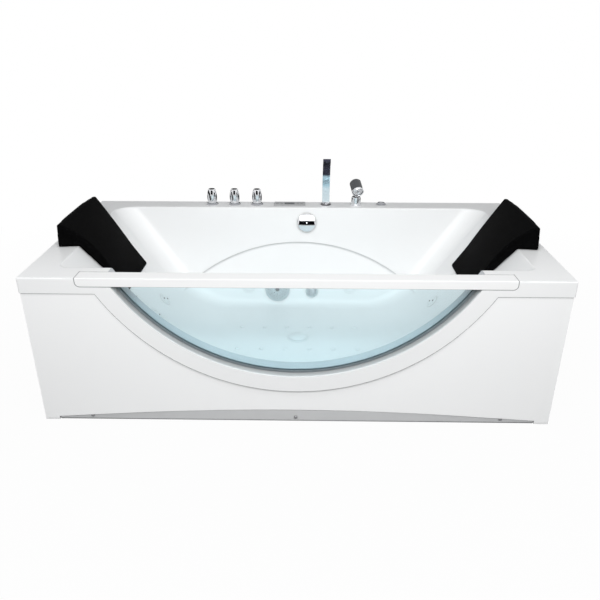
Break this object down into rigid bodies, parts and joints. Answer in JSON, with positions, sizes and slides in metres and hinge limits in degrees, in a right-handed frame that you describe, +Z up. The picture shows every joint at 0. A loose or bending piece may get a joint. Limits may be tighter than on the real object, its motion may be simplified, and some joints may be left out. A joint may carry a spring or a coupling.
{
  "type": "jetted bathtub",
  "caption": "Rectangular jetted bathtub with a curved window in its front, black headrests, water and air jets, deck-mounted taps, a hand shower and a control panel.",
  "frame": {"origin": "centre of the footprint, on the floor", "axes": "+X along the tub to the bather's right as seen from the front, +Y from the front apron to the wall side, +Z up"},
  "size_m": [1.8, 0.9, 0.7667],
  "materials": {
    "acrylic_white": "glossy",
    "window_glass": "clear",
    "seal_rubber": "satin",
    "rail_white": "glossy",
    "panel_white": "glossy",
    "plinth_grey": "satin",
    "bolt_steel": "satin",
    "frame_steel": "galvanised",
    "foot_plastic": "matte",
    "board_wood": "matte",
    "pillow_black": "matte",
    "stud_plastic": "matte",
    "jet_plastic": "satin",
    "cover_grey": "satin",
    "lamp_lens": "frosted",
    "fitting_chrome": "polished",
    "valve_brass": "satin",
    "shower_plastic": "satin",
    "panel_silver": "satin",
    "display_dark": "glossy",
    "button_grey": "satin",
    "motor_metal": "satin",
    "pump_plastic": "satin",
    "pipe_plastic": "satin"
  },
  "bodies": {
    "tub": {"basin_shell": "acrylic_white", "window_glass": "window_glass", "window_seal": "seal_rubber", "front_rail": "rail_white", "front_panel": "panel_white", "left_end_panel": "panel_white", "right_end_panel": "panel_white", "plinth_strip": "plinth_grey", "plinth_bolts": "bolt_steel", "support_frame": "frame_steel", "levelling_feet": "foot_plastic", "foot_locknuts": "bolt_steel", "base_board": "board_wood", "wall_fittings": "jet_plastic", "suction_cover": "cover_grey", "suction_screw": "bolt_steel", "lamp_ring": "cover_grey", "lamp_lens": "lamp_lens", "air_jets": "jet_plastic", "drain_flange": "jet_plastic", "waste_trap": "jet_plastic", "overflow_pipe": "jet_plastic", "overflow_body": "jet_plastic", "valve_flanges": "fitting_chrome", "valve_bodies": "valve_brass", "spout": "fitting_chrome", "shower_holder": "fitting_chrome", "air_regulator_body": "jet_plastic", "control_panel": "panel_silver", "panel_display": "display_dark", "pump_motor": "motor_metal", "pump_wet_end": "pump_plastic", "air_blower": "pump_plastic", "control_box": "pump_plastic", "pipework": "pipe_plastic"},
    "left_headrest": {"left_pillow": "pillow_black", "left_pillow_studs": "stud_plastic"},
    "right_headrest": {"right_pillow": "pillow_black", "right_pillow_studs": "stud_plastic"},
    "left_jet_rotor_1_body": {"left_jet_rotor_1": "jet_plastic"},
    "left_jet_rotor_2_body": {"left_jet_rotor_2": "jet_plastic"},
    "left_jet_rotor_3_body": {"left_jet_rotor_3": "jet_plastic"},
    "left_jet_rotor_4_body": {"left_jet_rotor_4": "jet_plastic"},
    "right_jet_rotor_1_body": {"right_jet_rotor_1": "jet_plastic"},
    "right_jet_rotor_2_body": {"right_jet_rotor_2": "jet_plastic"},
    "right_jet_rotor_3_body": {"right_jet_rotor_3": "jet_plastic"},
    "right_jet_rotor_4_body": {"right_jet_rotor_4": "jet_plastic"},
    "back_jet_rotor_1_body": {"back_jet_rotor_1": "jet_plastic"},
    "back_jet_rotor_2_body": {"back_jet_rotor_2": "jet_plastic"},
    "overflow_control": {"overflow_knob": "fitting_chrome"},
    "waste_plug": {"drain_plug": "jet_plastic"},
    "hot_control": {"hot_knob": "fitting_chrome"},
    "diverter_control": {"diverter_knob": "fitting_chrome"},
    "cold_control": {"cold_knob": "fitting_chrome"},
    "air_control": {"air_regulator_knob": "fitting_chrome"},
    "shower_handset": {"hand_shower": "shower_plastic"},
    "button_1": {"panel_button_1": "button_grey"},
    "button_2": {"panel_button_2": "button_grey"},
    "button_3": {"panel_button_3": "button_grey"},
    "button_4": {"panel_button_4": "button_grey"}
  },
  "joints": [
    {"name": "left_pillow_lift", "type": "slide", "parent": "tub", "child": "left_headrest", "axis": [0, 0, 1], "range_m": [0, 0.06]},
    {"name": "right_pillow_lift", "type": "slide", "parent": "tub", "child": "right_headrest", "axis": [0, 0, 1], "range_m": [0, 0.06]},
    {"name": "left_jet_rotor_1_spin", "type": "hinge", "parent": "tub", "child": "left_jet_rotor_1_body", "pos_m": [-0.62281, -0.136, 0.3444], "axis": [0.766, 0, 0.6428], "continuous": true},
    {"name": "left_jet_rotor_2_spin", "type": "hinge", "parent": "tub", "child": "left_jet_rotor_2_body", "pos_m": [-0.62281, 0.062, 0.3444], "axis": [0.766, 0, 0.6428], "continuous": true},
    {"name": "left_jet_rotor_3_spin", "type": "hinge", "parent": "tub", "child": "left_jet_rotor_3_body", "pos_m": [-0.54824, -0.111, 0.25554], "axis": [0.766, 0, 0.6428], "continuous": true},
    {"name": "left_jet_rotor_4_spin", "type": "hinge", "parent": "tub", "child": "left_jet_rotor_4_body", "pos_m": [-0.54824, 0.037, 0.25554], "axis": [0.766, 0, 0.6428], "continuous": true},
    {"name": "right_jet_rotor_1_spin", "type": "hinge", "parent": "tub", "child": "right_jet_rotor_1_body", "pos_m": [0.62281, -0.136, 0.3444], "axis": [-0.766, 0, 0.6428], "continuous": true},
    {"name": "right_jet_rotor_2_spin", "type": "hinge", "parent": "tub", "child": "right_jet_rotor_2_body", "pos_m": [0.62281, 0.062, 0.3444], "axis": [-0.766, 0, 0.6428], "continuous": true},
    {"name": "right_jet_rotor_3_spin", "type": "hinge", "parent": "tub", "child": "right_jet_rotor_3_body", "pos_m": [0.54824, -0.111, 0.25554], "axis": [-0.766, 0, 0.6428], "continuous": true},
    {"name": "right_jet_rotor_4_spin", "type": "hinge", "parent": "tub", "child": "right_jet_rotor_4_body", "pos_m": [0.54824, 0.037, 0.25554], "axis": [-0.766, 0, 0.6428], "continuous": true},
    {"name": "back_jet_rotor_1_spin", "type": "hinge", "parent": "tub", "child": "back_jet_rotor_1_body", "pos_m": [-0.227, 0.2739, 0.209], "axis": [0, -0.9636, 0.2672], "continuous": true},
    {"name": "back_jet_rotor_2_spin", "type": "hinge", "parent": "tub", "child": "back_jet_rotor_2_body", "pos_m": [0.227, 0.2739, 0.209], "axis": [0, -0.9636, 0.2672], "continuous": true},
    {"name": "overflow_turn", "type": "hinge", "parent": "tub", "child": "overflow_control", "pos_m": [0.032, 0.33981, 0.49], "axis": [0, -0.9636, 0.2672], "range_deg": [0, 90]},
    {"name": "drain_plug_lift", "type": "slide", "parent": "tub", "child": "waste_plug", "axis": [0, 0, 1], "range_m": [0, 0.0101]},
    {"name": "hot_turn", "type": "hinge", "parent": "tub", "child": "hot_control", "pos_m": [-0.39, 0.41, 0.552], "axis": [0, 0, 1], "range_deg": [0, 90]},
    {"name": "diverter_turn", "type": "hinge", "parent": "tub", "child": "diverter_control", "pos_m": [-0.29, 0.41, 0.552], "axis": [0, 0, 1], "range_deg": [0, 90]},
    {"name": "cold_turn", "type": "hinge", "parent": "tub", "child": "cold_control", "pos_m": [-0.19, 0.41, 0.552], "axis": [0, 0, 1], "range_deg": [0, 90]},
    {"name": "air_turn", "type": "hinge", "parent": "tub", "child": "air_control", "pos_m": [0.362, 0.41, 0.552], "axis": [0, 0, 1], "range_deg": [0, 90]},
    {"name": "shower_lift", "type": "slide", "parent": "tub", "child": "shower_handset", "axis": [0, 0, 1], "range_m": [0, 0.06]},
    {"name": "button_1_press", "type": "slide", "parent": "tub", "child": "button_1", "axis": [0, 0, -1], "range_m": [0, 0.001], "stiffness_N_per_m": 300},
    {"name": "button_2_press", "type": "slide", "parent": "tub", "child": "button_2", "axis": [0, 0, -1], "range_m": [0, 0.001], "stiffness_N_per_m": 300},
    {"name": "button_3_press", "type": "slide", "parent": "tub", "child": "button_3", "axis": [0, 0, -1], "range_m": [0, 0.001], "stiffness_N_per_m": 300},
    {"name": "button_4_press", "type": "slide", "parent": "tub", "child": "button_4", "axis": [0, 0, -1], "range_m": [0, 0.001], "stiffness_N_per_m": 300}
  ],
  "couplings": [
    {"joint": "drain_plug_lift", "follows": "overflow_turn", "m_per_rad": 0.0063662}
  ]
}
